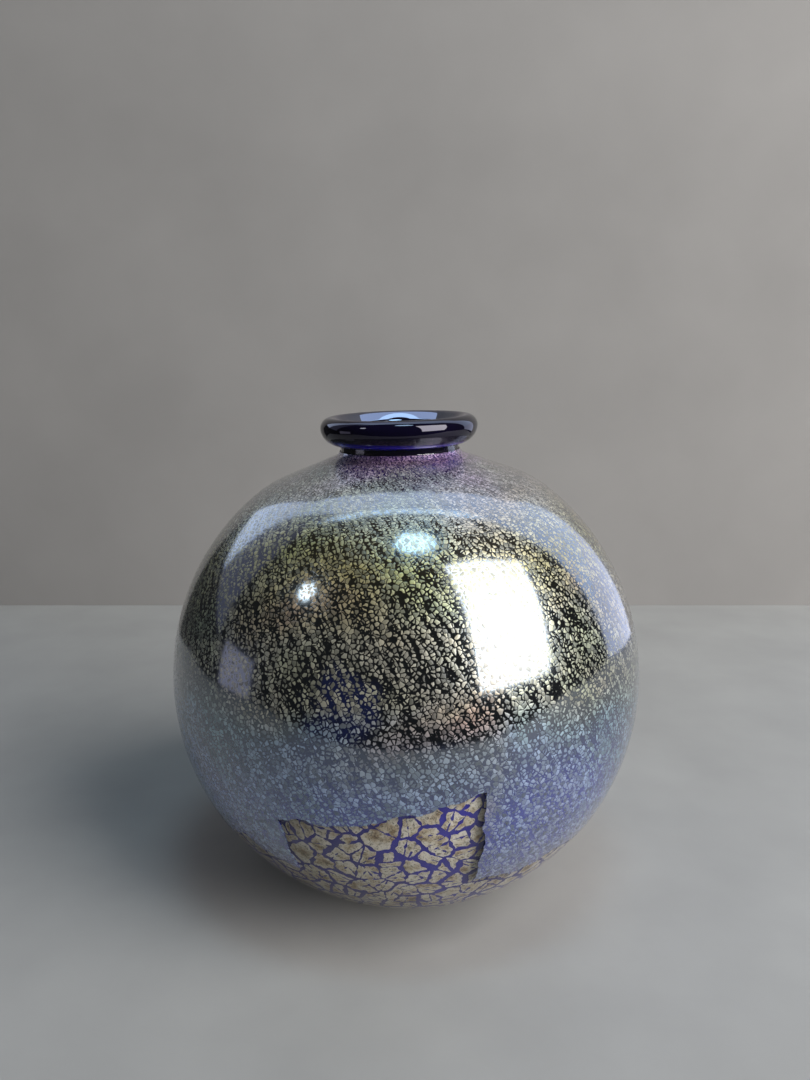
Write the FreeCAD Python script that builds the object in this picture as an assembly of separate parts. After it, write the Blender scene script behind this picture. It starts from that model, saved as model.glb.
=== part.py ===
import FreeCAD, Part
import math
import os

# A hand blown art glass vase, in millimetres, standing on z = 0 over the origin.
# A cobalt bubble carries a first coat of silver leaf, a clear gather cases it, four sheets of
# iridised silver leaf are rolled on over the casing, and a cobalt wrap is rolled into the lip.
# The front of the vase faces -Y. Angles on the globe are measured down from its top.
# Every piece is turned on one axis, which then leans a little to the left of the ground base.

body_radius = 65.0          # globe, over the outer leaf
base_radius = 22.0          # ground ring that the vase stands on
lean = 1.7                  # degrees that the blown form's axis leans to the left
punty_radius = 11.0         # hollow ground where the punty was broken off
punty_depth = 1.0
casing_wall = 1.7           # clear glass at the side of the globe
casing_floor = 4.5          # clear glass under the bubble
bubble_wall = 2.4           # cobalt glass at the side of the globe
bubble_floor = 3.0
floor_fillet = 20.0         # turn from the inside wall to the floor, in the casing
outer_leaf = 0.25           # stands in for a leaf under a micron thick
inner_leaf = 0.25
inner_leaf_top = 88.0       # angle where the first leaf ends under the outer sheets

shoulder_start = 39.0       # angle where the globe turns into the flatter shoulder
shoulder_slope = 21.0       # fall of the shoulder cone from level
shoulder_turn = 32.5        # radius of the turn between globe and shoulder cone
neck_radius = 16.0
neck_fillet = 2.0
neck_height = 5.85          # from the centre of the fillet at its foot to the lip's widest
neck_casing = 0.8           # clear glass in the neck wall
neck_cobalt = 1.2           # cobalt glass in the neck wall
throat_fillet = 5.0         # turn from the throat into the inside of the shoulder
lip_overhang = 5.3          # how far the rolled lip stands out past the neck
lip_rise = 2.85             # from the lip's widest up to its crest
lip_drop = 4.8              # from the lip's widest down to the neck
lip_seat = 1.2              # how far the neck's end is below the lip's widest
flare_slope = 38.0          # fall of the lip's inside from level
flare_fillet = 2.0          # turn from the lip's inside into the throat

# Each sheet of outer leaf: side, first and last azimuth from the front, and its lower edge.
sheets = [
    ("front", -30.0, 16.0, 98.0),
    ("right", 16.0, 120.0, 123.0),
    ("back", 120.0, 215.0, 112.0),
    ("left", 215.0, 330.0, 120.0),
]

glass_radius = body_radius - outer_leaf
seam_radius = neck_radius - neck_casing
throat_radius = seam_radius - neck_cobalt
centre_z = math.sqrt(glass_radius ** 2 - base_radius ** 2)


def point(radius, z):
    return FreeCAD.Vector(radius, 0, z)


def polar(centre, radius, degrees):
    """The point at a radius from a centre, at an angle measured down from the top."""
    turn = math.radians(degrees)
    return centre + point(radius * math.sin(turn), radius * math.cos(turn))


def arc(centre, radius, start, end):
    """An arc about a centre, between two angles measured down from the top."""
    middle = polar(centre, radius, (start + end) / 2)
    return Part.Arc(polar(centre, radius, start), middle, polar(centre, radius, end)).toShape()


def line(start, end):
    return Part.LineSegment(start, end).toShape()


globe_centre = point(0, centre_z)
shoulder_centre = polar(globe_centre, glass_radius - shoulder_turn, shoulder_start)


def fillet_centre(depth, wall_radius, fillet):
    """Centre of the fillet between the shoulder cone, at a depth in the glass, and the neck."""
    slope = math.radians(shoulder_slope)
    turn = math.radians(shoulder_start - shoulder_slope)
    cone = (glass_radius - shoulder_turn) * math.cos(turn) + shoulder_turn - depth
    radius = wall_radius + fillet
    return point(radius, centre_z + (cone + fillet - radius * math.sin(slope)) / math.cos(slope))


lip_z = fillet_centre(0, neck_radius, neck_fillet).z + neck_height
neck_top = lip_z - lip_seat


def neck_and_shoulder(depth, wall_radius, fillet):
    """Edges from the top of the neck down to the start of the globe, at a depth in the glass."""
    foot = fillet_centre(depth, wall_radius, fillet)
    cone_top = polar(foot, fillet, 180 + shoulder_slope)
    turn = shoulder_turn - depth
    return [
        line(point(wall_radius, neck_top), point(wall_radius, foot.z)),
        arc(foot, fillet, 270, 180 + shoulder_slope),
        line(cone_top, polar(shoulder_centre, turn, shoulder_slope)),
        arc(shoulder_centre, turn, shoulder_slope, shoulder_start),
    ]


def bowl(depth, first, floor_z, turn):
    """Edges down the globe from an angle, at a depth in the glass, to a flat floor."""
    reach = glass_radius - depth - turn
    drop = centre_z - floor_z - turn
    heel = point(math.sqrt(reach ** 2 - drop ** 2), floor_z + turn)
    last = 180 - math.degrees(math.asin(heel.x / reach))
    return [
        arc(globe_centre, glass_radius - depth, first, last),
        arc(heel, turn, last, 180),
        line(point(heel.x, floor_z), point(0, floor_z)),
    ]


def revolved(edges, start=0.0, span=360.0):
    face = Part.Face(Part.Wire(Part.__sortEdges__(edges)))
    face.rotate(FreeCAD.Vector(0, 0, 0), FreeCAD.Vector(0, 0, 1), start)
    return face.revolve(FreeCAD.Vector(0, 0, 0), FreeCAD.Vector(0, 0, 1), span)


def between(outer, inner):
    """The body of glass between two surfaces that run from one rim down to the axis."""
    rim = line(outer[0].Vertexes[0].Point, inner[0].Vertexes[0].Point)
    axis = line(outer[-1].Vertexes[-1].Point, inner[-1].Vertexes[-1].Point)
    return revolved(outer + [axis] + inner + [rim])


def leaned(shape):
    return shape.rotated(globe_centre, FreeCAD.Vector(0, 1, 0), -lean)


leaf_depth = casing_wall
bubble_depth = casing_wall + inner_leaf
bubble_base = casing_floor + inner_leaf


def bubble_outside(first):
    return bowl(bubble_depth, first, bubble_base, floor_fillet - inner_leaf)


def whole_bubble_outside():
    top = neck_and_shoulder(bubble_depth, seam_radius, neck_fillet + neck_casing)
    return top + bubble_outside(shoulder_start)


def cobalt_bubble():
    """The bubble and its neck, blown from one gather of cobalt glass."""
    depth = bubble_depth + bubble_wall
    turn = floor_fillet - inner_leaf - bubble_wall
    throat = neck_and_shoulder(depth, throat_radius, throat_fillet)
    inside = throat + bowl(depth, shoulder_start, bubble_base + bubble_floor, turn)
    return between(whole_bubble_outside(), inside)


def first_leaf():
    """The leaf on the lower half of the bubble, up to its edge under the outer sheets."""
    over = bowl(leaf_depth, inner_leaf_top, casing_floor, floor_fillet)
    return between(over, bubble_outside(inner_leaf_top))


def clear_casing():
    """The clear gather over the bubble and its leaf, before its base is ground."""
    top = neck_and_shoulder(0, neck_radius, neck_fillet)
    outside = top + [arc(globe_centre, glass_radius, shoulder_start, 180)]
    return between(outside, whole_bubble_outside()).cut(first_leaf())


def ground(casing):
    """The casing with its base ground level, and a round hollow where the punty was."""
    depth = glass_radius - centre_z + base_radius
    wheel = Part.makeCylinder(2 * base_radius, depth, FreeCAD.Vector(0, 0, -depth))
    hollow_radius = (punty_radius ** 2 + punty_depth ** 2) / (2 * punty_depth)
    hollow = Part.makeSphere(hollow_radius, FreeCAD.Vector(0, 0, punty_depth - hollow_radius))
    return casing.cut(wheel).cut(hollow)


def leaf_sheet(start, end, edge):
    """One sheet of outer leaf, from the foot of the neck down to its own lower edge."""
    foot = fillet_centre(0, neck_radius, neck_fillet)
    top = polar(foot, neck_fillet, 180 + shoulder_slope)
    over_top = polar(top, outer_leaf, shoulder_slope)
    turn = shoulder_turn + outer_leaf
    edges = [
        line(over_top, polar(shoulder_centre, turn, shoulder_slope)),
        arc(shoulder_centre, turn, shoulder_slope, shoulder_start),
        arc(globe_centre, body_radius, shoulder_start, edge),
        line(polar(globe_centre, body_radius, edge), polar(globe_centre, glass_radius, edge)),
        arc(globe_centre, glass_radius, edge, shoulder_start),
        arc(shoulder_centre, shoulder_turn, shoulder_start, shoulder_slope),
        line(polar(shoulder_centre, shoulder_turn, shoulder_slope), top),
        line(top, over_top),
    ]
    return revolved(edges, start - 90.0, end - start)


def lip_wrap():
    """A thick wrap on the neck's end, rolled round outside and flared into the throat inside."""
    slope = math.radians(flare_slope)
    crest = point(neck_radius + lip_overhang - lip_rise, lip_z)
    turn_radius = throat_radius + flare_fillet
    fall = (crest.x - turn_radius) * math.sin(slope) - lip_rise + flare_fillet
    turn = point(turn_radius, lip_z - fall / math.cos(slope))
    widest = point(neck_radius + lip_overhang, lip_z)
    under = point(neck_radius, lip_z - lip_drop)
    round_off = 0.5523
    underside = Part.BezierCurve()
    underside.setPoles([
        widest,
        widest - point(0, round_off * lip_drop),
        under + point(round_off * lip_overhang, 0),
        under,
    ])
    return revolved([
        line(point(throat_radius, neck_top), point(throat_radius, turn.z)),
        arc(turn, flare_fillet, -90, -flare_slope),
        line(polar(turn, flare_fillet, -flare_slope), polar(crest, lip_rise, -flare_slope)),
        arc(crest, lip_rise, -flare_slope, 90),
        underside.toShape(),
        line(under, point(neck_radius, neck_top)),
        line(point(neck_radius, neck_top), point(throat_radius, neck_top)),
    ])


os.makedirs("parts", exist_ok=True)
nodes = {
    "cobalt_bubble": leaned(cobalt_bubble()),
    "first_leaf": leaned(first_leaf()),
    "clear_casing": ground(leaned(clear_casing())),
    "lip_wrap": leaned(lip_wrap()),
}
for side, start, end, edge in sheets:
    nodes["leaf_sheet_" + side] = leaned(leaf_sheet(start, end, edge))
for name, shape in nodes.items():
    shape.exportStep("parts/" + name + ".step")
    print(name, len(shape.Solids), "solid", round(shape.Volume / 1000, 2), "cm3", shape.isValid())
top = max(shape.BoundBox.ZMax for shape in nodes.values())
print("overall height", round(top, 2), "globe centre", round(centre_z, 2))
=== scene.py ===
import bpy
import bmesh
import math
import random
from mathutils import Matrix, Vector, noise


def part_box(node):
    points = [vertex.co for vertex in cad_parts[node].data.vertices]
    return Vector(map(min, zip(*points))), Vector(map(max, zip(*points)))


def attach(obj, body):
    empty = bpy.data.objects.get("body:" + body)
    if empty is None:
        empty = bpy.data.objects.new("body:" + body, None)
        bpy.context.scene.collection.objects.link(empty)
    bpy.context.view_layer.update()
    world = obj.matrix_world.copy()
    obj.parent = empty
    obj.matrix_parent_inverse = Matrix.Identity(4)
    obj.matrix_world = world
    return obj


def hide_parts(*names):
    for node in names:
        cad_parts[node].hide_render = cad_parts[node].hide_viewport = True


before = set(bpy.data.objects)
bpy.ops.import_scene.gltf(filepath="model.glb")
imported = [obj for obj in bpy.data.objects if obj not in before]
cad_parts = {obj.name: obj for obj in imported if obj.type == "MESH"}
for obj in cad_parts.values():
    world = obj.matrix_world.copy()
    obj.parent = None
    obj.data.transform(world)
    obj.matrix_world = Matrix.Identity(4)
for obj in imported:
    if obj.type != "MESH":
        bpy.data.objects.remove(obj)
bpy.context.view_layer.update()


# ---- Cobalt bubble ----
# The first gather: cobalt glass blown into a thin globe with a short neck. Its colour is partly its
# own
# and partly painted light: a vivid blue over the globe, painted as if light got behind it, and almost
# black up the neck. Everything else is laid over it, and turned on the same axis, which leans a little
# to the left.

mm = 0.001
casing_low, casing_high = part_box("clear_casing")
glass_radius = (casing_high.y - casing_low.y) / 2
base_radius = 22.0 * mm
globe_centre = Vector((0, 0, math.sqrt(glass_radius ** 2 - base_radius ** 2)))
lean_angle = math.radians(1.7)
lean = Matrix.Rotation(-lean_angle, 4, "Y")

casing_wall = 1.7 * mm
casing_floor = 4.5 * mm
inner_leaf = 0.25 * mm
bubble_wall = 2.4 * mm
bubble_floor = 3.0 * mm
bubble_radius = glass_radius - casing_wall - inner_leaf
bubble_base = casing_floor + inner_leaf
bubble_turn = 20.0 * mm - inner_leaf
shoulder_start = math.radians(39)
shoulder_slope = math.radians(21)
shoulder_turn = 32.5 * mm

neck_radius = 16.0 * mm
neck_casing = 0.8 * mm
neck_cobalt = 1.2 * mm
seam_radius = neck_radius - neck_casing
throat_radius = seam_radius - neck_cobalt
neck_fillet = 2.0 * mm
throat_fillet = 5.0 * mm
lip_rise = 2.85 * mm
lip_overhang = 5.3 * mm
lip_seat = 1.2 * mm
crest_radius = neck_radius + lip_overhang - lip_rise
lip_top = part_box("lip_wrap")[1].z - lip_rise - crest_radius * math.sin(lean_angle)
lip_z = globe_centre.z + (lip_top - globe_centre.z) / math.cos(lean_angle)
neck_top = lip_z - lip_seat


def arc_points(centre, radius, start, end, step=1.5 * mm):
    """Points along an arc; angles are measured down from straight up."""
    count = max(2, int(abs(end - start) * radius / step))
    turns = [start + (end - start) * i / count for i in range(count + 1)]
    return [(centre[0] + radius * math.sin(t), centre[1] + radius * math.cos(t)) for t in turns]


def line_points(start, end, step=1.5 * mm):
    """Points along a straight line."""
    count = max(1, int(math.dist(start, end) / step))
    return [tuple(a + (b - a) * i / count for a, b in zip(start, end)) for i in range(count + 1)]


def neck_and_shoulder(globe_radius, wall_radius, fillet):
    """Outline of one skin of glass from the neck's top down to the start of the globe."""
    depth = glass_radius - globe_radius
    reach = glass_radius - shoulder_turn
    turn_centre = (reach * math.sin(shoulder_start),
                   globe_centre.z + reach * math.cos(shoulder_start))
    cone = reach * math.cos(shoulder_start - shoulder_slope) + shoulder_turn - depth
    foot_radius = wall_radius + fillet
    foot_z = (cone + fillet - foot_radius * math.sin(shoulder_slope)) / math.cos(shoulder_slope)
    foot = (foot_radius, globe_centre.z + foot_z)
    cone_top = (foot[0] - fillet * math.sin(shoulder_slope),
                foot[1] - fillet * math.cos(shoulder_slope))
    turn = shoulder_turn - depth
    cone_end = (turn_centre[0] + turn * math.sin(shoulder_slope),
                turn_centre[1] + turn * math.cos(shoulder_slope))
    neck = line_points((wall_radius, neck_top), (wall_radius, foot[1]), 0.3 * mm)
    fillet_arc = arc_points(foot, fillet, math.radians(270), math.pi + shoulder_slope, 0.2 * mm)
    shoulder = arc_points(turn_centre, turn, shoulder_slope, shoulder_start)
    return neck + fillet_arc[1:] + line_points(cone_top, cone_end)[1:] + shoulder[1:]


def bowl(globe_radius, first, floor_z, turn):
    """Outline of one skin of glass down the globe from an angle to a flat floor."""
    reach = globe_radius - turn
    heel = (math.sqrt(reach ** 2 - (globe_centre.z - floor_z - turn) ** 2), floor_z + turn)
    last = math.pi - math.asin(heel[0] / reach)
    globe = arc_points((0, globe_centre.z), globe_radius, first, last)
    heel_arc = arc_points(heel, turn, last, math.pi)
    return globe + heel_arc[1:] + line_points((heel[0], floor_z), (0, floor_z), 1.5 * mm)[1:]


def hand_turned(place):
    """A blown form is never quite round: it swells slowly by about a tenth of a millimetre,
    and not at all where it is ground to stand."""
    about = place - globe_centre
    above_ground = min(1, max(0, place.z / (8 * mm)))
    swell = noise.noise(about * 22) * 0.25 * mm * above_ground
    return globe_centre + about * (1 + swell / about.length)


def mesh_piece(name, points, faces, material):
    """A piece from its points and faces, smooth but for its real edges."""
    mesh = bpy.data.meshes.new(name)
    mesh.from_pydata([tuple(p) for p in points], [], faces)
    tidy = bmesh.new()
    tidy.from_mesh(mesh)
    bmesh.ops.recalc_face_normals(tidy, faces=tidy.faces)
    tidy.to_mesh(mesh)
    tidy.free()
    for polygon in mesh.polygons:
        polygon.use_smooth = True
    mesh.set_sharp_from_angle(angle=math.radians(50))
    mesh.materials.append(material)
    piece = bpy.data.objects.new(name, mesh)
    bpy.context.scene.collection.objects.link(piece)
    return piece


def turned(name, outline, material, segments=256):
    """A solid of glass: the outline is turned about the vase's axis, and then it leans."""
    points, faces, rings = [], [], []
    for radius, z in outline:
        if radius < 1e-6:
            rings.append([len(points)] * segments)
            points.append(Vector((0, 0, z)))
        else:
            rings.append(list(range(len(points), len(points) + segments)))
            for k in range(segments):
                turn = math.tau * k / segments
                points.append(Vector((radius * math.cos(turn), radius * math.sin(turn), z)))
    for upper, lower in zip(rings, rings[1:] + rings[:1]):
        for k in range(segments):
            j = (k + 1) % segments
            corners = [upper[k], upper[j], lower[j], lower[k]]
            corners = [c for i, c in enumerate(corners) if c not in corners[:i]]
            if len(corners) > 2:
                faces.append(corners)
    leaned = [globe_centre + lean @ (p - globe_centre) for p in points]
    return mesh_piece(name, [hand_turned(p) for p in leaned], faces, material)


def new_finish(name):
    """A new material, with its node tree and its shader."""
    material = bpy.data.materials.new(name)
    material.use_nodes = True
    return material, material.node_tree, material.node_tree.nodes["Principled BSDF"]


def node(tree, kind, **settings):
    """A shader node with its settings and, by socket name or number, its input values."""
    made = tree.nodes.new(kind)
    for key, value in settings.pop("inputs", {}).items():
        made.inputs[key].default_value = value
    for key, value in settings.items():
        setattr(made, key, value)
    return made


def blend(tree, factor, first, second):
    """A mix of two colours, each a colour or a socket."""
    made = node(tree, "ShaderNodeMix", data_type="RGBA")
    for index, value in ((0, factor), (6, first), (7, second)):
        if isinstance(value, bpy.types.NodeSocket):
            tree.links.new(value, made.inputs[index])
        else:
            made.inputs[index].default_value = value
    return made.outputs[2]


def ramp(tree, value, *stops):
    """Colours along a value: each stop is a position and a colour."""
    made = node(tree, "ShaderNodeValToRGB")
    elements = made.color_ramp.elements
    elements[0].position, elements[0].color = stops[0][0], (*stops[0][1], 1)
    elements[1].position, elements[1].color = stops[-1][0], (*stops[-1][1], 1)
    for position, colour in stops[1:-1]:
        elements.new(position).color = (*colour, 1)
    tree.links.new(value, made.inputs["Fac"])
    return made.outputs["Color"]


cobalt, tree, shader = new_finish("cobalt_glass")
shader.inputs["Roughness"].default_value = 0.06
shader.inputs["IOR"].default_value = 1.52
place = node(tree, "ShaderNodeTexCoord")
depth_noise = node(tree, "ShaderNodeTexNoise", inputs={"Scale": 60.0, "Detail": 3.0})
tree.links.new(place.outputs["Object"], depth_noise.inputs["Vector"])
# Painted light: the vivid blue over the globe stands for light shining through the glass.
deep = ramp(tree, depth_noise.outputs["Fac"],
            (0.3, (0.010, 0.008, 0.13)), (0.7, (0.022, 0.018, 0.26)))
parts = node(tree, "ShaderNodeSeparateXYZ")
tree.links.new(place.outputs["Object"], parts.inputs["Vector"])
in_neck = node(tree, "ShaderNodeMapRange", interpolation_type="SMOOTHSTEP",
               inputs={"From Min": globe_centre.z + 50 * mm, "From Max": globe_centre.z + 56 * mm})
tree.links.new(parts.outputs["Z"], in_neck.inputs["Value"])
tree.links.new(blend(tree, in_neck.outputs["Result"], deep, (0.004, 0.003, 0.012, 1)),
               shader.inputs["Base Color"])

bubble_skin = neck_and_shoulder(bubble_radius, seam_radius, neck_fillet + neck_casing)
bubble_skin += bowl(bubble_radius, shoulder_start, bubble_base, bubble_turn)[1:]
hollow_radius = bubble_radius - bubble_wall
hollow_floor = bubble_base + bubble_floor
hollow_skin = neck_and_shoulder(hollow_radius, throat_radius, throat_fillet)
hollow_skin += bowl(hollow_radius, shoulder_start, hollow_floor, bubble_turn - bubble_wall)[1:]
bubble = turned("cobalt_bubble_glass", bubble_skin + hollow_skin[::-1], cobalt)
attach(bubble, "root")
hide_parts("cobalt_bubble")


# ---- First silver leaf ----
# One coat of thick leaf rolled on the bubble. It tore into plates when the bubble was blown up,
# with wide gaps of bare cobalt between them. Each plate is a thin crinkled flake under the glass.

flake_radius = bubble_radius + 0.16 * mm
flake_thickness = 0.14 * mm
leaf_top = math.radians(89)
leaf_bottom = math.radians(153)
plate_spacing = 7.2 * mm
plate_tries = 14000
least_shard = 3.0 * mm * mm
largest_shard = 11.0 * mm * mm
flake_rng = random.Random(41)


def on_globe(azimuth, angle, radius):
    """A place on the globe: azimuth from the front, to the right, and angle from the top."""
    side = math.sin(angle) * radius
    up = math.cos(angle) * radius
    return globe_centre + Vector((side * math.sin(azimuth), -side * math.cos(azimuth), up))


def plate_centres():
    """Where the plates lie: all round the bubble, no two closer than leaf tears."""
    centres = []
    for attempt in range(plate_tries):
        azimuth = flake_rng.uniform(-math.pi, math.pi)
        angle = math.acos(flake_rng.uniform(math.cos(leaf_bottom), math.cos(leaf_top)))
        place = on_globe(azimuth, angle, flake_radius)
        apart = plate_spacing * flake_rng.uniform(0.50, 1.20)
        if all((place - other).length > apart for other in centres):
            centres.append(place)
    return centres


def cut(outline, normal, offset):
    """The part of a flat outline on the near side of a line."""
    kept = []
    for a, b in zip(outline, outline[1:] + outline[:1]):
        da = a.dot(normal) - offset
        db = b.dot(normal) - offset
        if da <= 0:
            kept.append(a)
        if da * db < 0:
            kept.append(a.lerp(b, da / (da - db)))
    return kept


def plate(centre, centres, across, along):
    """The plate round one centre, on the plane that touches the globe there."""
    corners = [Vector((math.cos(t), math.sin(t))) * 8 * mm for t in (0.3, 1.5, 2.8, 4.0, 5.3)]
    for other in centres:
        away = other - centre
        if 0 < away.length < 20 * mm:
            flat = Vector((away.dot(across), away.dot(along)))
            gap = flake_rng.choice((0.3, 0.6, 0.9, 1.5)) * mm
            corners = cut(corners, flat.normalized(), flat.length / 2 - gap / 2)
    return corners


def extent(outline):
    """The area inside a flat outline."""
    return sum(a.x * b.y - b.x * a.y for a, b in zip(outline, outline[1:] + outline[:1])) / 2


def shards(outline):
    """The plate broken by a few straight cracks into angular shards."""
    if len(outline) < 3 or extent(outline) < least_shard:
        return []
    if extent(outline) < largest_shard or flake_rng.random() < 0.16:
        return [outline]
    middle = sum(outline, Vector((0, 0))) / len(outline)
    turn = flake_rng.uniform(0, math.pi)
    normal = Vector((math.cos(turn), math.sin(turn)))
    crack = flake_rng.uniform(0.12, 0.5) * mm
    offset = middle.dot(normal) + flake_rng.uniform(-0.9, 0.9) * mm
    near = cut(outline, normal, offset - crack / 2)
    far = cut(outline, -normal, -offset - crack / 2)
    return shards(near) + shards(far)


def torn(corners, place):
    """A shard's outline with its straight sides worn into short uneven runs."""
    edge = []
    for a, b in zip(corners, corners[1:] + corners[:1]):
        count = max(1, round((b - a).length / (0.5 * mm)))
        edge += [a.lerp(b, i / count) for i in range(count)]
    middle = sum(edge, Vector((0, 0))) / len(edge)
    ragged = []
    for p in edge:
        rag = noise.noise(Vector((p.x, p.y, 0)) * 800 + place * 400) * 0.80 * mm
        reach = max((p - middle).length, 1e-6)
        ragged.append(middle + (p - middle) * max(0.3, (0.96 * reach + rag) / reach))
    return ragged, middle


def flakes(name, material):
    """Every shard as a thin flake: crinkled rings from its middle to its torn edge, and a flat
    back. How far each point lies inside the edge is kept with the mesh."""
    points, faces, inward = [], [], []
    centres = plate_centres()
    for centre in centres:
        up = (centre - globe_centre).normalized()
        across = up.cross(Vector((0, 0, 1))).normalized()
        along = up.cross(across)
        for shard in shards(plate(centre, centres, across, along)):
            edge, middle = torn(shard, centre)
            n = len(edge)
            first = len(points)
            size = min(1.0, math.sqrt(abs(extent(edge))) / (4.5 * mm))
            for share in (0.0, 0.45, 0.8, 1.0, None):
                for p in edge if share != 0 else [middle]:
                    flat = middle + (p - middle) * (1 if share is None else share)
                    spot = centre + across * flat.x + along * flat.y
                    crinkle = (noise.noise(spot * 1100) + noise.noise(spot * 380)) * 0.05 * mm
                    height = -flake_thickness if share is None else crinkle * (1.0 - 0.5 * share)
                    out = (spot - globe_centre).normalized()
                    points.append(globe_centre + out * (flake_radius + height))
                    inward.append(0.0 if share is None else (1.0 - share) * size)
            faces += [[first, first + 1 + k, first + 1 + (k + 1) % n] for k in range(n)]
            for level in range(3):
                a = first + 1 + level * n
                faces += [[a + k, a + n + k, a + n + (k + 1) % n, a + (k + 1) % n] for k in range(n)]
            faces.append([first + 1 + 3 * n + k for k in reversed(range(n))])
    piece = mesh_piece(name, points, faces, material)
    depth = piece.data.attributes.new("inward", "FLOAT", "POINT")
    depth.data.foreach_set("value", inward)
    return piece


silver, tree, shader = new_finish("first_silver_leaf")
link = tree.links.new
place = node(tree, "ShaderNodeTexCoord")
inward = node(tree, "ShaderNodeAttribute", attribute_name="inward")
patches = node(tree, "ShaderNodeTexNoise", inputs={"Scale": 260.0, "Detail": 5.0, "Roughness": 0.65})
link(place.outputs["Object"], patches.inputs["Vector"])
tarnish = node(tree, "ShaderNodeMath", operation="MULTIPLY_ADD", inputs={1: 0.10})
link(inward.outputs["Fac"], tarnish.inputs[0])
link(patches.outputs["Fac"], tarnish.inputs[2])
leaf_tone = ramp(tree, tarnish.outputs[0], (0.46, (0.58, 0.55, 0.48)), (0.58, (0.44, 0.38, 0.28)),
                 (0.70, (0.17, 0.11, 0.05)))
wrinkles = node(tree, "ShaderNodeTexNoise",
                inputs={"Scale": 1300.0, "Detail": 5.0, "Roughness": 0.7, "Distortion": 1.2})
link(place.outputs["Object"], wrinkles.inputs["Vector"])
wrinkle_mask = node(tree, "ShaderNodeMapRange",
                    inputs={"From Min": 0.52, "From Max": 0.60, "To Min": 0.0, "To Max": 0.85})
link(wrinkles.outputs["Fac"], wrinkle_mask.inputs["Value"])
link(blend(tree, wrinkle_mask.outputs["Result"], leaf_tone, (0.03, 0.022, 0.012, 1)),
     shader.inputs["Base Color"])
leaf_bump = node(tree, "ShaderNodeBump", inputs={"Strength": 0.6, "Distance": 0.00015})
link(wrinkles.outputs["Fac"], leaf_bump.inputs["Height"])
link(leaf_bump.outputs["Normal"], shader.inputs["Normal"])
shader.inputs["Roughness"].default_value = 0.45
shader.inputs["Metallic"].default_value = 0.15

leaf_flakes = flakes("first_leaf_flakes", silver)
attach(leaf_flakes, "root")
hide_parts("first_leaf")


# ---- Clear casing ----
# A clear gather over the bubble and its leaf, thin at the side and heavy under the bubble. It
# is fire polished, and then ground flat underneath and hollowed where the punty was.

punty_radius = 11.0 * mm
punty_depth = 1.0 * mm
punty_sphere = (punty_radius ** 2 + punty_depth ** 2) / (2 * punty_depth)
fused = 0.1 * mm

clear, tree, shader = new_finish("clear_glass")
shader.inputs["Base Color"].default_value = (0.97, 0.985, 0.98, 1)
shader.inputs["Transmission Weight"].default_value = 1.0
shader.inputs["Roughness"].default_value = 0.0
shader.inputs["IOR"].default_value = 1.5
clear_place = node(tree, "ShaderNodeTexCoord")
ripple = node(tree, "ShaderNodeTexNoise", inputs={"Scale": 45.0, "Detail": 2.0})
ripple_bump = node(tree, "ShaderNodeBump", inputs={"Strength": 0.08, "Distance": 0.001})
tree.links.new(clear_place.outputs["Object"], ripple.inputs["Vector"])
tree.links.new(ripple.outputs["Fac"], ripple_bump.inputs["Height"])
tree.links.new(ripple_bump.outputs["Normal"], shader.inputs["Normal"])
ray = node(tree, "ShaderNodeLightPath")
lets_light = node(tree, "ShaderNodeBsdfTransparent")
mixed = node(tree, "ShaderNodeMixShader")
tree.links.new(ray.outputs["Is Shadow Ray"], mixed.inputs["Fac"])
tree.links.new(shader.outputs["BSDF"], mixed.inputs[1])
tree.links.new(lets_light.outputs["BSDF"], mixed.inputs[2])
tree.links.new(mixed.outputs["Shader"], tree.nodes["Material Output"].inputs["Surface"])


def ground_base():
    """Outline under the globe: the ground ring, then the hollow left by the punty."""
    spread = math.asin(punty_radius / punty_sphere)
    ring = line_points((base_radius, 0), (punty_radius, 0))
    return ring[1:] + arc_points((0, punty_depth - punty_sphere), punty_sphere, spread, 0)[1:]


ring_angle = math.pi - math.asin(base_radius / glass_radius)
casing_skin = neck_and_shoulder(glass_radius, neck_radius, neck_fillet)
casing_skin += arc_points((0, globe_centre.z), glass_radius, shoulder_start, ring_angle)[1:]
casing_skin += ground_base()
# The casing is fused to the bubble, so its inside lies just within the bubble's skin.
under_skin = neck_and_shoulder(bubble_radius - fused, seam_radius - fused,
                               neck_fillet + neck_casing + fused)
under_skin += bowl(bubble_radius - fused, shoulder_start, bubble_base + fused, bubble_turn - fused)[1:]


def upright_turned(name, outline, inner, material):
    """The casing: its skins lean with the bubble, but its ground base stays level."""
    piece = turned(name, outline + inner[::-1], material)
    wheel_reach = 1.9 * mm
    for vertex in piece.data.vertices:
        flat = Vector((vertex.co.x, vertex.co.y)).length
        if flat < base_radius + 0.1 * mm and vertex.co.z < wheel_reach:
            in_hollow = min(flat, punty_radius)
            drop = punty_sphere - math.sqrt(punty_sphere ** 2 - in_hollow ** 2)
            vertex.co.z = max(0.0, punty_depth - drop)
    return piece


casing = upright_turned("clear_casing_glass", casing_skin, under_skin, clear)
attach(casing, "root")
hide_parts("clear_casing")


# ---- Outer leaf ----
# Four sheets of thin silver leaf, picked up on the hot casing and fused to it. Blowing cracked
# them into fine islands, finest at the neck, and a hot metal fume gave them an oily skin.

outer_leaf = 0.25 * mm
skin_radius = glass_radius + outer_leaf
island = 1.10 * mm
neck_islands = 1.5          # how much finer the islands are at the neck
streak_twist = 0.55         # how far the streaks turn round the globe as they climb it
streak_depth = 0.62         # how much the streaks open and close the cracks
least_crack = 0.014
island_edge = 14.0          # how sharply an island ends at a crack
island_crown = 3.2          # how steeply it rises from there


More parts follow.
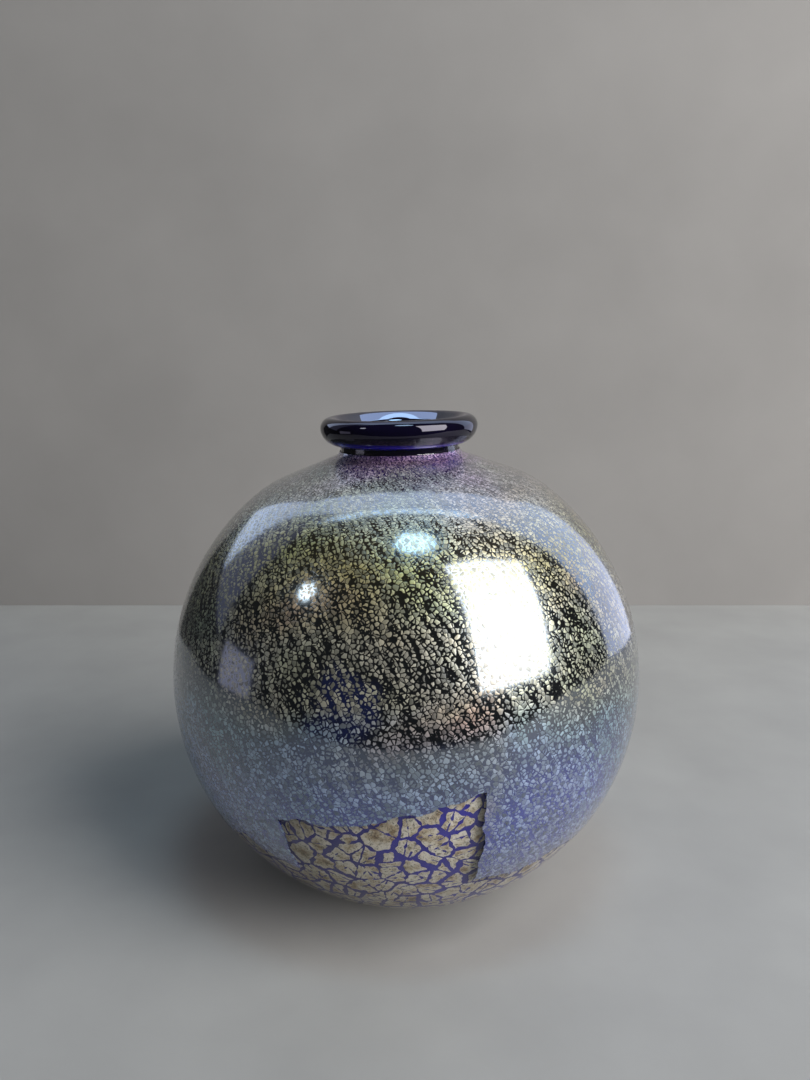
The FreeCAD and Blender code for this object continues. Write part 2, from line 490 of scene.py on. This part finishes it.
def crackle_group():
    """Cracks of a leaf that was blown out: island mask, island tint and height."""
    group = bpy.data.node_groups.new("blown leaf crackle", "ShaderNodeTree")
    face = group.interface
    face.new_socket("Place", in_out="INPUT", socket_type="NodeSocketVector")
    face.new_socket("Gap", in_out="INPUT", socket_type="NodeSocketFloat")
    face.new_socket("Islands", in_out="OUTPUT", socket_type="NodeSocketFloat")
    face.new_socket("Island Tint", in_out="OUTPUT", socket_type="NodeSocketFloat")
    face.new_socket("Height", in_out="OUTPUT", socket_type="NodeSocketFloat")
    inside = node(group, "NodeGroupInput")
    outside = node(group, "NodeGroupOutput")
    link = group.links.new

    def math_node(operation, a, b=None, clamp=False):
        made = node(group, "ShaderNodeMath", operation=operation, use_clamp=clamp)
        for index, value in enumerate((a, b)):
            if value is None:
                continue
            if isinstance(value, (int, float)):
                made.inputs[index].default_value = value
            else:
                link(value, made.inputs[index])
        return made.outputs[0]

    from_centre = node(group, "ShaderNodeVectorMath", operation="SUBTRACT")
    from_centre.inputs[1].default_value = globe_centre
    link(inside.outputs["Place"], from_centre.inputs[0])
    parts = node(group, "ShaderNodeSeparateXYZ")
    link(from_centre.outputs["Vector"], parts.inputs["Vector"])
    x, y, z = parts.outputs
    azimuth = math_node("ARCTAN2", x, math_node("MULTIPLY", y, -1.0))
    # The streaks have a seam where they meet round the globe, so it is turned to where the
    # back sheet meets the left one.
    wrapped = node(group, "ShaderNodeMath", operation="WRAP")
    wrapped.inputs[1].default_value = math.pi
    wrapped.inputs[2].default_value = -math.pi
    link(math_node("SUBTRACT", azimuth, math.radians(35)), wrapped.inputs[0])
    reach = node(group, "ShaderNodeVectorMath", operation="LENGTH")
    link(from_centre.outputs["Vector"], reach.inputs[0])
    height = math_node("DIVIDE", z, reach.outputs["Value"])
    # The streaks run as the globe was stretched: up it, and a little round it.
    rising = math_node("DIVIDE", math_node("ADD", 1.001, height), math_node("SUBTRACT", 1.001, height))
    up = math_node("MULTIPLY", math_node("LOGARITHM", rising, math.e), 0.5)
    twisted = math_node("ADD", wrapped.outputs[0], math_node("MULTIPLY", up, streak_twist))
    flat = node(group, "ShaderNodeCombineXYZ")
    link(math_node("MULTIPLY", twisted, skin_radius / island), flat.inputs["X"])
    link(math_node("MULTIPLY", up, 0.80 * skin_radius / island), flat.inputs["Y"])
    round_globe = node(group, "ShaderNodeVectorMath", operation="SCALE")
    finer = node(group, "ShaderNodeMapRange", interpolation_type="SMOOTHSTEP", inputs={
        "From Min": 46 * mm, "From Max": 60 * mm,
        "To Min": 1 / island, "To Max": neck_islands / island})
    link(z, finer.inputs["Value"])
    link(finer.outputs["Result"], round_globe.inputs["Scale"])
    link(from_centre.outputs["Vector"], round_globe.inputs[0])
    warp = node(group, "ShaderNodeTexNoise", inputs={"Scale": 0.9, "Detail": 2.0})
    link(round_globe.outputs["Vector"], warp.inputs["Vector"])
    warp_size = node(group, "ShaderNodeVectorMath", operation="SCALE")
    warp_size.inputs["Scale"].default_value = 0.55
    link(warp.outputs["Color"], warp_size.inputs["Vector"])
    warped = node(group, "ShaderNodeVectorMath", operation="ADD")
    link(round_globe.outputs["Vector"], warped.inputs[0])
    link(warp_size.outputs["Vector"], warped.inputs[1])
    edges = node(group, "ShaderNodeTexVoronoi", feature="DISTANCE_TO_EDGE",
                 inputs={"Scale": 1.0, "Randomness": 0.95})
    cells = node(group, "ShaderNodeTexVoronoi", feature="F1",
                 inputs={"Scale": 1.0, "Randomness": 0.95})
    link(warped.outputs["Vector"], edges.inputs["Vector"])
    link(warped.outputs["Vector"], cells.inputs["Vector"])
    stretch = node(group, "ShaderNodeMapping")
    stretch.inputs["Scale"].default_value = (0.75, 0.16, 1)
    link(flat.outputs["Vector"], stretch.inputs["Vector"])
    streaks = node(group, "ShaderNodeTexNoise", noise_dimensions="2D",
                   inputs={"Scale": 1.0, "Detail": 3.0, "Roughness": 0.55})
    link(stretch.outputs["Vector"], streaks.inputs["Vector"])
    streak = math_node("MULTIPLY", math_node("SUBTRACT", streaks.outputs["Fac"], 0.5), streak_depth)
    tint = node(group, "ShaderNodeSeparateColor")
    link(cells.outputs["Color"], tint.inputs["Color"])
    own_gap = math_node("MULTIPLY", math_node("SUBTRACT", tint.outputs["Red"], 0.5), 0.05)
    limit = math_node("ADD", math_node("ADD", inside.outputs["Gap"], streak), own_gap)
    limit = math_node("MAXIMUM", limit, least_crack)
    over = math_node("SUBTRACT", edges.outputs["Distance"], limit)
    link(math_node("MULTIPLY", over, island_edge, clamp=True), outside.inputs["Islands"])
    link(math_node("MULTIPLY", over, island_crown, clamp=True), outside.inputs["Height"])
    link(tint.outputs["Green"], outside.inputs["Island Tint"])
    return group


crackle = crackle_group()


def iridised_leaf():
    """The finish of all four sheets: cracked leaf under a fume whose colours follow its height, partly
    its own colours and partly painted reflections.
    """
    material, tree, shader = new_finish("iridised_leaf")
    link = tree.links.new

    def mapped(value, low, high, to_low, to_high, smooth="SMOOTHSTEP"):
        made = node(tree, "ShaderNodeMapRange", interpolation_type=smooth, inputs={
            "From Min": low, "From Max": high, "To Min": to_low, "To Max": to_high})
        link(value, made.inputs["Value"])
        return made.outputs["Result"]

    def cloud(scale, detail, distortion=0.0):
        made = node(tree, "ShaderNodeTexNoise",
                    inputs={"Scale": scale, "Detail": detail, "Distortion": distortion})
        link(place.outputs["Object"], made.inputs["Vector"])
        return made.outputs["Fac"]

    place = node(tree, "ShaderNodeTexCoord")
    parts = node(tree, "ShaderNodeSeparateXYZ")
    link(place.outputs["Object"], parts.inputs["Vector"])
    height = parts.outputs["Z"]
    cracks = node(tree, "ShaderNodeGroup", node_tree=crackle)
    link(place.outputs["Object"], cracks.inputs["Place"])
    wide = node(tree, "ShaderNodeMath", operation="MINIMUM")
    link(mapped(height, 0.052, 0.070, 0.060, 0.108), wide.inputs[0])
    link(mapped(height, 0.092, 0.118, 0.108, 0.055), wide.inputs[1])
    link(wide.outputs[0], cracks.inputs["Gap"])
    # The fume turns the leaf grey blue low down, cream, then olive gold, and violet at the neck. These
    # colours are partly the fume's own and partly painted reflection: the grey blue low down paints
    # the floor seen in the film, and the violet at the neck paints the dark lip seen in the shoulder.
    drift = node(tree, "ShaderNodeMath", operation="MULTIPLY_ADD", inputs={1: 0.02})
    link(cloud(30.0, 2.0), drift.inputs[0])
    link(height, drift.inputs[2])
    level = mapped(drift.outputs[0], 0.01, 0.14, 0.0, 1.0, "LINEAR")
    fume_and_painted_reflection = ramp(tree, level, (0.10, (0.36, 0.40, 0.50)), (0.36, (0.29, 0.37, 0.60)),
                (0.49, (0.30, 0.39, 0.52)),
                (0.55, (0.45, 0.41, 0.35)), (0.66, (0.43, 0.41, 0.32)), (0.78, (0.38, 0.34, 0.13)),
                (0.86, (0.44, 0.41, 0.30)), (0.915, (0.50, 0.45, 0.46)), (0.95, (0.52, 0.32, 0.56)))
    bloom = ramp(tree, cloud(24.0, 3.0, 0.8), (0.30, (0.62, 0.80, 0.66)), (0.42, (0.94, 1.0, 0.86)),
                 (0.52, (1.0, 1.0, 1.0)), (0.62, (1.0, 0.90, 0.78)), (0.74, (1.0, 0.66, 0.62)))
    leaf = node(tree, "ShaderNodeMix", data_type="RGBA", blend_type="MULTIPLY")
    leaf.inputs[0].default_value = 1.0
    link(fume_and_painted_reflection, leaf.inputs[6])
    link(bloom, leaf.inputs[7])
    shade = node(tree, "ShaderNodeVectorMath", operation="SCALE")
    link(leaf.outputs[2], shade.inputs[0])
    own_tone = mapped(cracks.outputs["Island Tint"], 0.0, 1.0, 0.30, 1.20, "LINEAR")
    link(own_tone, shade.inputs["Scale"])
    # Bare glass is blue low down and in a cloud on the front, and then black, gold and violet. The
    # blue low down is painted light shining through the glass, and the violet at the neck a painted
    # reflection of the dark lip.
    bare_glass_and_painted_light = ramp(tree, level, (0.34, (0.020, 0.024, 0.22)), (0.44, (0.008, 0.012, 0.08)),
                (0.51, (0.003, 0.003, 0.004)), (0.70, (0.004, 0.004, 0.003)),
                (0.80, (0.014, 0.011, 0.003)), (0.90, (0.030, 0.025, 0.020)),
                (0.95, (0.03, 0.006, 0.07)))
    cloud_place = node(tree, "ShaderNodeVectorMath", operation="DISTANCE")
    cloud_place.inputs[1].default_value = on_globe(math.radians(-14), math.radians(77), skin_radius)
    link(place.outputs["Object"], cloud_place.inputs[0])
    ragged_reach = node(tree, "ShaderNodeMath", operation="MULTIPLY_ADD", inputs={1: 0.022})
    link(cloud(120.0, 3.0), ragged_reach.inputs[0])
    link(cloud_place.outputs["Value"], ragged_reach.inputs[2])
    bare_glass_and_painted_light = blend(tree, mapped(ragged_reach.outputs[0], 0.014, 0.021, 0.50, 0.0), bare_glass_and_painted_light,
                 (0.006, 0.012, 0.075, 1))
    link(blend(tree, cracks.outputs["Islands"], bare_glass_and_painted_light, shade.outputs["Vector"]),
         shader.inputs["Base Color"])
    islands = cracks.outputs["Islands"]
    link(mapped(islands, 0.0, 1.0, 0.0, 0.48, "LINEAR"), shader.inputs["Metallic"])
    link(mapped(islands, 0.0, 1.0, 0.10, 0.42, "LINEAR"), shader.inputs["Roughness"])
    bump = node(tree, "ShaderNodeBump", inputs={"Strength": 0.30, "Distance": 0.00012})
    link(cracks.outputs["Height"], bump.inputs["Height"])
    link(bump.outputs["Normal"], shader.inputs["Normal"])
    film = mapped(cloud(17.0, 1.0), 0.3, 0.7, 40.0, 64.0, "LINEAR")
    link(film, shader.inputs["Thin Film Thickness"])
    shader.inputs["Thin Film IOR"].default_value = 1.9
    shader.inputs["IOR"].default_value = 1.5
    shader.inputs["Coat Weight"].default_value = 1.0
    shader.inputs["Coat Roughness"].default_value = 0.09
    shader.inputs["Coat IOR"].default_value = 1.5
    orange_peel = node(tree, "ShaderNodeTexNoise", inputs={"Scale": 900.0, "Detail": 2.0})
    peel_bump = node(tree, "ShaderNodeBump", inputs={"Strength": 0.12, "Distance": 0.0002})
    link(place.outputs["Object"], orange_peel.inputs["Vector"])
    link(orange_peel.outputs["Fac"], peel_bump.inputs["Height"])
    link(peel_bump.outputs["Normal"], shader.inputs["Coat Normal"])
    return material


leaf_material = iridised_leaf()
skin_outline = neck_and_shoulder(skin_radius, neck_radius + outer_leaf, neck_fillet - outer_leaf)
foot_start = next(i for i, (r, z) in enumerate(skin_outline) if r > neck_radius + 0.3 * mm)
skin_top = skin_outline[foot_start:]


def skin_place(azimuth, share, edge):
    """A place on a sheet: its share of the way from the neck's foot to the angle of its edge."""
    globe_length = skin_radius * (edge - shoulder_start)
    lengths = [0.0]
    for a, b in zip(skin_top, skin_top[1:]):
        lengths.append(lengths[-1] + math.dist(a, b))
    travel = share * (lengths[-1] + globe_length)
    if travel < lengths[-1]:
        k = max(i for i, length in enumerate(lengths) if length <= travel)
        part = (travel - lengths[k]) / (lengths[k + 1] - lengths[k])
        radius = skin_top[k][0] + (skin_top[k + 1][0] - skin_top[k][0]) * part
        z = skin_top[k][1] + (skin_top[k + 1][1] - skin_top[k][1]) * part
    else:
        angle = shoulder_start + (travel - lengths[-1]) / skin_radius
        radius = skin_radius * math.sin(angle)
        z = globe_centre.z + skin_radius * math.cos(angle)
    return Vector((radius * math.sin(azimuth), -radius * math.cos(azimuth), z))


def ragged_edge(azimuth, wave, seed):
    """How far a torn lower edge strays from its own line: long waves, short ones and nicks."""
    return (wave * noise.noise(Vector((azimuth * 3.2, seed, 0)))
            + 0.5 * wave * noise.noise(Vector((azimuth * 11.0, seed, 4)))
            + 0.22 * wave * noise.noise(Vector((azimuth * 42.0, seed, 9))))


def sheet_piece(side, start, end, edge_at):
    """One sheet between two azimuths, with its own torn lower edge. Its last side is tucked
    under the next sheet."""
    columns = max(8, round((end - start) / math.radians(0.9)))
    rows = 110
    thickness = 0.18 * mm
    tuck = 0.05 * mm
    tear_start, tear_run = 0.74, 0.12
    outer, inner = [], []
    for c in range(columns + 2):
        for r in range(rows + 1):
            share = r / rows
            low = min(1, max(0, (share - tear_start) / tear_run))
            first = start + side_tear[side][0](share) * low
            last = end + side_tear[side][1](share) * low
            azimuth = first + (last - first) * min(c, columns) / columns
            if c > columns:
                azimuth += math.radians(0.5)
            point = skin_place(azimuth, share, edge_at(azimuth)) - globe_centre
            point -= point.normalized() * (tuck if c > columns else 0)
            outer.append(hand_turned(globe_centre + lean @ point))
            point -= point.normalized() * thickness
            inner.append(hand_turned(globe_centre + lean @ point))
    wide = rows + 1
    count = len(outer)
    faces = []
    for c in range(columns + 1):
        for r in range(rows):
            a = c * wide + r
            faces.append([a, a + 1, a + wide + 1, a + wide])
            faces.append([count + a, count + a + wide, count + a + wide + 1, count + a + 1])
    last_column = (columns + 1) * wide
    rim = [c * wide for c in range(columns + 2)] + [last_column + r for r in range(1, wide)]
    rim += [c * wide + rows for c in reversed(range(columns + 1))] + list(reversed(range(1, rows)))
    for a, b in zip(rim, rim[1:] + rim[:1]):
        faces.append([a, b, count + b, count + a])
    piece = mesh_piece("leaf_sheet_" + side + "_skin", outer + inner, faces, leaf_material)
    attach(piece, "root")
    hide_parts("leaf_sheet_" + side)


def straight(share):
    return 0.0


def torn_side(share):
    """How far a torn side strays, in radians round the globe."""
    waves = noise.noise(Vector((share * 14, 3, 0)))
    nicks = noise.noise(Vector((share * 60, 7, 0)))
    return 0.03 * waves + 0.012 * nicks


side_tear = {
    "front": (straight, straight),
    "right": (torn_side, straight),
    "back": (straight, straight),
    "left": (straight, torn_side),
}


def front_edge(azimuth):
    """High in the middle of the front, where the coarse leaf shows, and lower to the left."""
    degrees = math.degrees(azimuth)
    rise = 96.5 + 0.30 * max(0, 14 - max(-8, degrees)) + 0.12 * max(0, -8 - degrees)
    return math.radians(rise) + ragged_edge(azimuth, 0.035, 1)


sheet_piece("front", math.radians(-30), math.radians(16), front_edge)
sheet_piece("right", math.radians(16), math.radians(120),
            lambda a: math.radians(123) + ragged_edge(a, 0.06, 2))
sheet_piece("back", math.radians(120), math.radians(215),
            lambda a: math.radians(112) + ragged_edge(a, 0.10, 3))
sheet_piece("left", math.radians(215), math.radians(330),
            lambda a: math.radians(119) + ragged_edge(a, 0.08, 4))


# ---- Lip ----
# A thick thread of cobalt glass wrapped on the end of the neck, heated, and rolled round. It is almost
# black in the mass, with a violet sheen from the fume on its shoulders, and a vivid blue band painted
# low on its underside as if light shone through it.

lip_drop = 4.8 * mm
flare_slope = math.radians(38)
flare_fillet = 2.0 * mm


def lip_outline():
    """The lip: flared into the throat, over a round crest, and full underneath to the neck."""
    turn_radius = throat_radius + flare_fillet
    fall = (crest_radius - turn_radius) * math.sin(flare_slope) - lip_rise + flare_fillet
    turn = (turn_radius, lip_z - fall / math.cos(flare_slope))
    inside = arc_points(turn, flare_fillet, -math.pi / 2, -flare_slope, 0.3 * mm)
    crest = arc_points((crest_radius, lip_z), lip_rise, -flare_slope, math.pi / 2, 0.3 * mm)
    under = []
    for k in range(1, 19):
        round_off = math.pi / 2 * k / 18
        under.append((neck_radius + lip_overhang * math.cos(round_off),
                      lip_z - lip_drop * math.sin(round_off)))
    seat = [(neck_radius, neck_top), (throat_radius, neck_top)]
    return inside + line_points(inside[-1], crest[0])[1:-1] + crest + under + seat


lip_glass, tree, shader = new_finish("lip_glass")
lip_place = node(tree, "ShaderNodeTexCoord")
lip_noise = node(tree, "ShaderNodeTexNoise", inputs={"Scale": 70.0, "Detail": 2.0})
tree.links.new(lip_place.outputs["Object"], lip_noise.inputs["Vector"])
mass = ramp(tree, lip_noise.outputs["Fac"],
            (0.3, (0.002, 0.0015, 0.005)), (0.7, (0.003, 0.002, 0.013)))
lip_parts = node(tree, "ShaderNodeSeparateXYZ")
tree.links.new(lip_place.outputs["Object"], lip_parts.inputs["Vector"])
# Painted light: the lowest part of the underside is painted a vivid blue, as if light shone through
# the glass there.
painted_lit_band = node(tree, "ShaderNodeMapRange", interpolation_type="SMOOTHSTEP",
                  inputs={"From Min": lip_z - 2.9 * mm, "From Max": lip_z - 4.0 * mm})
tree.links.new(lip_parts.outputs["Z"], painted_lit_band.inputs["Value"])
tree.links.new(blend(tree, painted_lit_band.outputs["Result"], mass, (0.002, 0.002, 0.30, 1)),
               shader.inputs["Base Color"])
off_axis = node(tree, "ShaderNodeVectorMath", operation="SUBTRACT")
off_axis.inputs[1].default_value = globe_centre + lean @ Vector((0, 0, lip_z - globe_centre.z))
tree.links.new(lip_place.outputs["Object"], off_axis.inputs[0])
across_axis = node(tree, "ShaderNodeVectorMath", operation="MULTIPLY")
across_axis.inputs[1].default_value = (1, 1, 0)
tree.links.new(off_axis.outputs["Vector"], across_axis.inputs[0])
reach = node(tree, "ShaderNodeVectorMath", operation="LENGTH")
tree.links.new(across_axis.outputs["Vector"], reach.inputs[0])
fume_inside = node(tree, "ShaderNodeMapRange", inputs={
    "From Min": crest_radius - 0.5 * mm, "From Max": crest_radius + 0.8 * mm,
    "To Min": 50.0, "To Max": 0.0})
tree.links.new(reach.outputs["Value"], fume_inside.inputs["Value"])
tree.links.new(fume_inside.outputs["Result"], shader.inputs["Thin Film Thickness"])
shader.inputs["Thin Film IOR"].default_value = 2.1
shader.inputs["Specular Tint"].default_value = (0.88, 0.85, 1.0, 1)
shader.inputs["Roughness"].default_value = 0.03
shader.inputs["IOR"].default_value = 1.52

lip = turned("lip_bead", lip_outline(), lip_glass)
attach(lip, "root")
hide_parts("lip_wrap")


# ---- Studio ----
# A pale board to stand on and a pale board behind it, with a window to the right, two small
# lamps, and a bright room behind the boards. Nothing here belongs to the vase.


def board(name, corners, colour, scale):
    """A flat board with a faint mottle. From behind it is clear, so that other views see past it."""
    material, tree, shader = new_finish(name)
    place = node(tree, "ShaderNodeTexCoord")
    mottle = node(tree, "ShaderNodeTexNoise", inputs={"Scale": scale, "Detail": 5.0})
    tree.links.new(place.outputs["Object"], mottle.inputs["Vector"])
    tones = ramp(tree, mottle.outputs["Fac"],
                 (0.3, [c * 0.93 for c in colour]), (0.7, [c * 1.05 for c in colour]))
    tree.links.new(tones, shader.inputs["Base Color"])
    shader.inputs["Roughness"].default_value = 0.75
    see = node(tree, "ShaderNodeBsdfTransparent")
    side = node(tree, "ShaderNodeNewGeometry")
    both = node(tree, "ShaderNodeMixShader")
    tree.links.new(side.outputs["Backfacing"], both.inputs["Fac"])
    tree.links.new(shader.outputs["BSDF"], both.inputs[1])
    tree.links.new(see.outputs["BSDF"], both.inputs[2])
    tree.links.new(both.outputs["Shader"], tree.nodes["Material Output"].inputs["Surface"])
    mesh = bpy.data.meshes.new(name)
    mesh.from_pydata(corners, [], [(0, 1, 2, 3)])
    mesh.materials.append(material)
    made = bpy.data.objects.new(name, mesh)
    bpy.context.scene.collection.objects.link(made)
    return made


back_y = 0.272
back_top = 0.50
board("floor_board", [(-0.5, -0.27, 0), (0.9, -0.27, 0), (0.9, back_y, 0), (-0.5, back_y, 0)],
      (0.33, 0.327, 0.32), 25)
board("back_board", [(-0.25, back_y, 0), (0.28, back_y, 0), (0.28, back_y, back_top),
                     (-0.25, back_y, back_top)], (0.26, 0.25, 0.242), 14)


def lamp(name, place, width, height, across, up, radiance, colour, shape="RECTANGLE", fills=True):
    """An area light of an even brightness, facing the vase. One that doesn't fill is far off in
    the room: it is seen in the glass, but lights nothing else."""
    data = bpy.data.lights.new(name, "AREA")
    data.shape = shape
    data.size = width
    data.size_y = height
    area = width * height * (1 if shape == "RECTANGLE" else math.pi / 4)
    data.energy = radiance * area * math.pi
    data.color = colour
    made = bpy.data.objects.new(name, data)
    x = Vector(across).normalized()
    y = Vector(up).normalized()
    z = x.cross(y)
    if z.dot(Vector(place) - globe_centre) < 0:
        x, z = -x, -z
    made.matrix_world = Matrix.Translation(place) @ Matrix((x, y, z)).transposed().to_4x4()
    made.visible_camera = False
    made.visible_diffuse = fills
    bpy.context.scene.collection.objects.link(made)
    return made


window_far = 2.0
lamp("window", globe_centre + Vector((0.561, -0.333, 0.382)) * window_far, 0.574 * window_far,
     0.702 * window_far, (0.51, 0.261, 0.031), (-0.21, 0.342, 0.576), 8.4, (1.0, 0.98, 0.96))
for name, left, right, low, high, strength, colour in (
        ("room_far_wall", -2.6, -0.8, 0.33, 2.2, 0.25, (0.62, 0.66, 1.0)),
        ("room_wall", -0.8, 1.5, 0.33, 2.2, 1.9, (0.62, 0.74, 1.0)),
        ("room_ceiling", -1.4, 1.3, 2.2, 3.7, 4.2, (0.58, 0.77, 1.0)),
        ("room_right", 0.3, 1.5, -0.05, 0.33, 1.6, (0.70, 0.76, 1.0))):
    lamp(name, ((left + right) / 2, 0.5, (low + high) / 2), right - left, high - low,
         (1, 0, 0), (0, 0, 1), strength, colour, fills=False)
lamp("ceiling_lamp", globe_centre + Vector((0.06, -0.229, 0.972)) * 1.5, 0.44, 0.30, (1, 0, 0),
     (0, 1, 0.2), 11.0, (0.56, 0.82, 1.0), "ELLIPSE")
lamp("left_lamp", globe_centre + Vector((-0.672, -0.338, 0.659)) * 1.5, 0.20, 0.20,
     (0.45, -0.89, 0), (0.59, 0.30, 0.75), 9.0, (0.9, 0.97, 1.0), "ELLIPSE")
lamp("left_doorway", (-1.0, -0.13, 0.07), 0.36, 0.26, (0, 1, 0), (0, 0, 1), 0.7, (0.80, 0.78, 1.0))

world = bpy.data.worlds.new("dim room")
bpy.context.scene.world = world
world.use_nodes = True
sky = world.node_tree
dim = sky.nodes["Background"]
dim.inputs["Color"].default_value = (0.95, 0.97, 1.0, 1)
dim.inputs["Strength"].default_value = 0.03
pale = node(sky, "ShaderNodeBackground", inputs={"Color": (0.36, 0.355, 0.35, 1), "Strength": 1.0})
eye = node(sky, "ShaderNodeLightPath")
either = node(sky, "ShaderNodeMixShader")
sky.links.new(eye.outputs["Is Camera Ray"], either.inputs["Fac"])
sky.links.new(dim.outputs["Background"], either.inputs[1])
sky.links.new(pale.outputs["Background"], either.inputs[2])
sky.links.new(either.outputs["Shader"], sky.nodes["World Output"].inputs["Surface"])

camera_data = bpy.data.cameras.new("camera")
camera_data.lens = 31.13
camera_data.sensor_width = 36.0
camera_data.clip_start = 0.01
camera = bpy.data.objects.new("camera", camera_data)
camera.location = (-0.0004, -0.2544, 0.1529)
camera.rotation_euler = (math.radians(90 - 12.2), 0, 0)
bpy.context.scene.collection.objects.link(camera)
bpy.context.scene.camera = camera
bpy.context.scene.view_settings.view_transform = "Standard"
